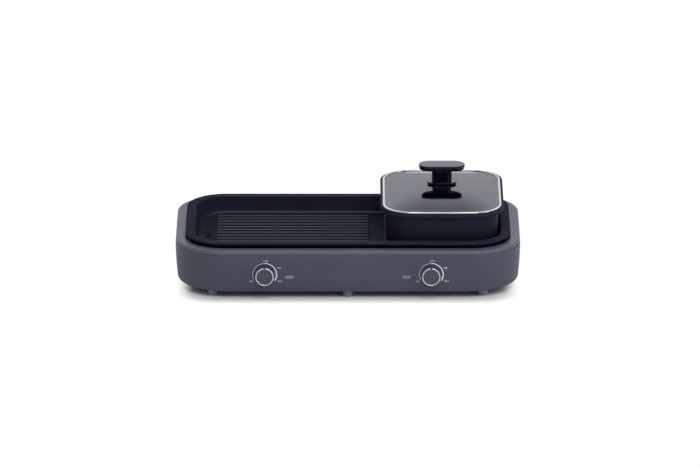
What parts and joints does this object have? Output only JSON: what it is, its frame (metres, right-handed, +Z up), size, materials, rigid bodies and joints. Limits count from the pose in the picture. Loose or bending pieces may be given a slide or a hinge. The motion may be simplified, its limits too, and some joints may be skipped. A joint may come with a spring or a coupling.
{
  "type": "hot pot grill combo",
  "caption": "Long countertop electric cooker with a ridged non-stick griddle tray, a lift-out pot with a glass lid, front dial controls and an oil drawer.",
  "frame": {"origin": "On the worktop plane, under the middle of the whole object's bounding box, knobs included.", "axes": "+X to the right along the long side, +Y to the back, +Z up; the two dial knobs face -Y."},
  "size_m": [0.56, 0.313, 0.1832],
  "materials": {
    "case_slate": "satin slate-grey moulded shell",
    "case_rim": "satin slate-grey rim with a soft sheen",
    "black_plastic": "fine-textured black plastic",
    "non_stick": "black non-stick coating on cast aluminium",
    "polished_metal": "polished bright metal",
    "sheet_steel": "plain rolled steel",
    "lid_glass": "clear toughened glass with a faint grey tint",
    "lamp_lens": "clouded clear plastic",
    "ceramic": "unglazed off-white ceramic",
    "contact_brass": "plain brass",
    "foot_rubber": "matte black rubber",
    "wire_red": "silicone wire sleeve",
    "wire_green": "silicone wire sleeve"
  },
  "bodies": {
    "base": {"housing": "case_slate", "top_ring": "case_rim", "bottom_cover": "black_plastic", "terminal_block": "ceramic", "heat_shield": "sheet_steel", "griddle_heater": "sheet_steel", "pot_heater": "sheet_steel", "left_griddle_cradle": "sheet_steel", "right_griddle_cradle": "sheet_steel", "left_pot_cradle": "sheet_steel", "right_pot_cradle": "sheet_steel", "left_thermostat": "ceramic", "right_thermostat": "ceramic", "left_lamp_lens": "lamp_lens", "right_lamp_lens": "lamp_lens", "left_lamp": "ceramic", "right_lamp": "ceramic", "power_inlet": "black_plastic", "live_pin": "contact_brass", "neutral_pin": "contact_brass", "earth_pin": "contact_brass", "front_left_foot": "foot_rubber", "front_middle_foot": "foot_rubber", "front_right_foot": "foot_rubber", "rear_left_foot": "foot_rubber", "rear_middle_foot": "foot_rubber", "rear_right_foot": "foot_rubber", "front_left_cover_screw": "sheet_steel", "front_right_cover_screw": "sheet_steel", "rear_left_cover_screw": "sheet_steel", "rear_right_cover_screw": "sheet_steel", "front_left_shield_screw": "sheet_steel", "front_right_shield_screw": "sheet_steel", "rear_left_shield_screw": "sheet_steel", "rear_right_shield_screw": "sheet_steel", "live_wire": "wire_red", "neutral_wire": "wire_red", "earth_wire": "wire_green", "left_supply_wire": "wire_red", "right_supply_wire": "wire_red", "griddle_load_wire": "wire_red", "pot_load_wire": "wire_red", "griddle_return_wire": "wire_red", "pot_return_wire": "wire_red"},
    "tray": {"griddle_tray": "non_stick"},
    "pot": {"pot": "non_stick"},
    "lid": {"lid_glass": "lid_glass", "lid_ring": "polished_metal", "lid_collar": "black_plastic", "lid_knob": "black_plastic", "lid_washer": "sheet_steel", "lid_screw": "sheet_steel"},
    "oil_drawer": {"oil_drawer": "case_slate"},
    "left_dial": {"left_knob": "case_slate", "left_knob_ring": "polished_metal", "left_shaft": "sheet_steel"},
    "right_dial": {"right_knob": "case_slate", "right_knob_ring": "polished_metal", "right_shaft": "sheet_steel"}
  },
  "joints": [
    {"name": "tray_lift", "type": "slide", "parent": "base", "child": "tray", "axis": [0, 0, 1], "range_m": [0, 0.12]},
    {"name": "pot_lift", "type": "slide", "parent": "tray", "child": "pot", "axis": [0, 0, 1], "range_m": [0, 0.12]},
    {"name": "lid_lift", "type": "slide", "parent": "pot", "child": "lid", "axis": [0, 0, 1], "range_m": [0, 0.1]},
    {"name": "oil_drawer_slide", "type": "slide", "parent": "base", "child": "oil_drawer", "axis": [-1, 0, 0], "range_m": [0, 0.07]},
    {"name": "left_knob_turn", "type": "hinge", "parent": "base", "child": "left_dial", "pos_m": [-0.13468, -0.1435, 0.042], "axis": [0, 1, 0], "range_deg": [-116, 120]},
    {"name": "right_knob_turn", "type": "hinge", "parent": "base", "child": "right_dial", "pos_m": [0.13468, -0.1435, 0.042], "axis": [0, 1, 0], "range_deg": [-116, 120]}
  ]
}
